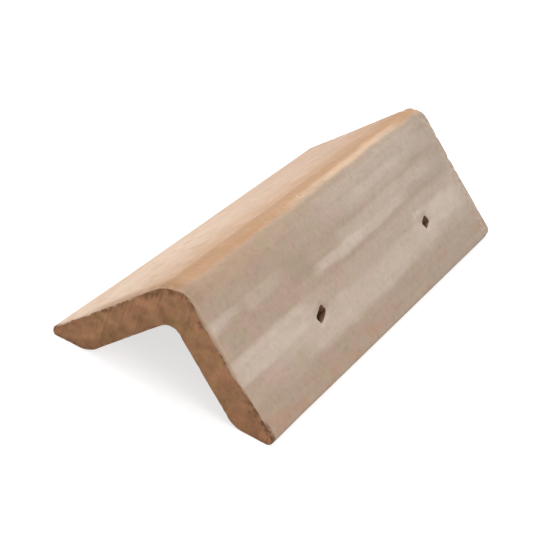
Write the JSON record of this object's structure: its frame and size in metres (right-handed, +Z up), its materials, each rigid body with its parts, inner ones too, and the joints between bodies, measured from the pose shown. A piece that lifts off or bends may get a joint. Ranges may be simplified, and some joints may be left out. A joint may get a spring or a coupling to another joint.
{
  "type": "rake tile",
  "caption": "L-shaped fired clay rake tile with a rounded ridge, flat-footed free edges and punched nail holes in its longer leg.",
  "frame": {"origin": "on the floor, at the centre of the tile's outer box, as it stands on its two feet with the ridge up", "axes": "+Y along the tile to its rear end, +X towards the longer, nailed leg, +Z up"},
  "size_m": [0.1456, 0.336, 0.0664],
  "materials": {
    "fired_clay": "matt, unglazed, fired clay with a pale buff face and a brown cut end"
  },
  "bodies": {
    "root": {"rake_tile": "fired_clay"}
  },
  "joints": []
}
